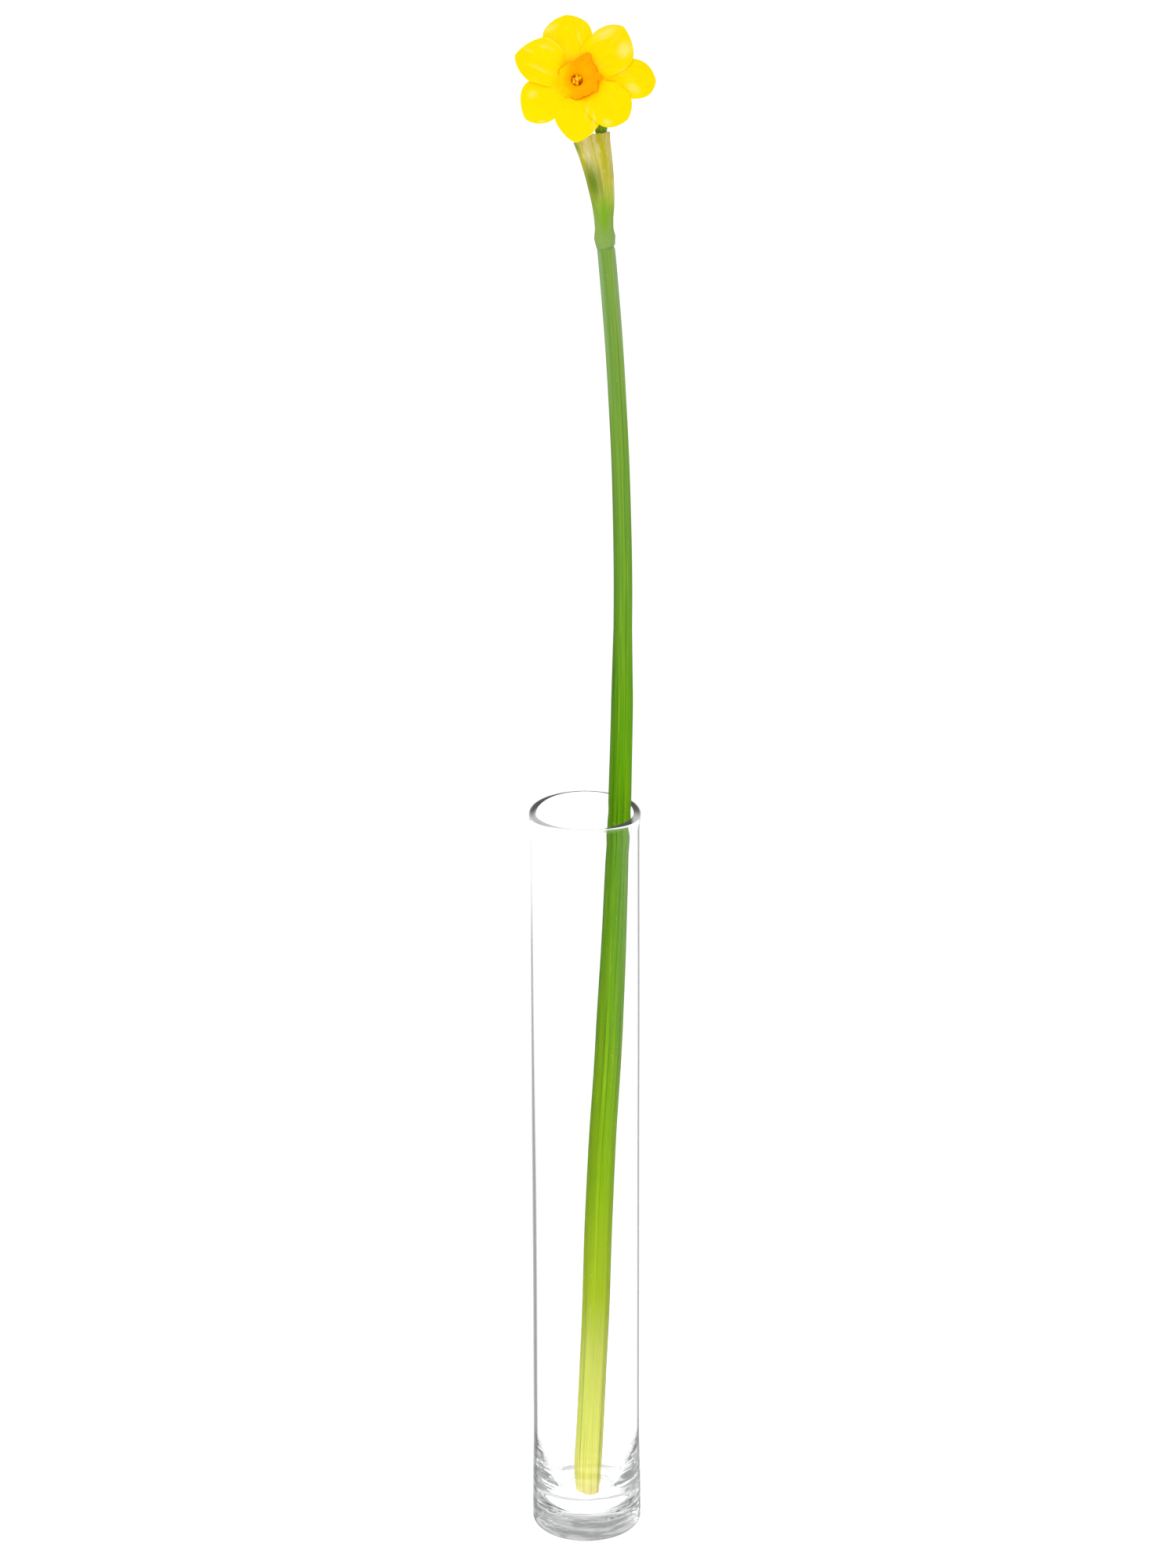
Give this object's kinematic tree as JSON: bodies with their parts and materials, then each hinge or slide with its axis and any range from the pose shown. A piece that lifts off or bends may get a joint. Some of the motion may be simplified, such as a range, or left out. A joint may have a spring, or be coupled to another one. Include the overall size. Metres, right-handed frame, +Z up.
{
  "type": "narcissus flower in a glass cylinder vase",
  "caption": "Yellow narcissus with a small orange cup, on a long green stem that stands and leans in a tall narrow clear glass cylinder vase.",
  "frame": {"origin": "centre of the flat underside of the vase", "axes": "+Z up along the vase, -Y the side that the flower faces, +X to the right of someone who looks at the flower"},
  "size_m": [0.0476, 0.04, 0.5741],
  "materials": {
    "glass": "clear polished glass, slightly wavy in the thick foot",
    "stem": "satin plant skin with fine lengthwise ribs, fading to yellow at the foot",
    "sheath": "dry papery membrane, beige at the mouth and green below",
    "ovary": "satin plant skin",
    "tepals": "matte petal with fine lengthwise veins",
    "corona": "matte frilled petal tissue",
    "anthers": "powdery",
    "stigma": "moist satin"
  },
  "bodies": {
    "root": {"vase": "glass", "stem": "stem", "spathe": "sheath", "ovary_pedicel": "ovary", "perianth": "tepals", "corona": "corona", "stamens": "anthers", "pistil": "stigma"}
  },
  "joints": []
}
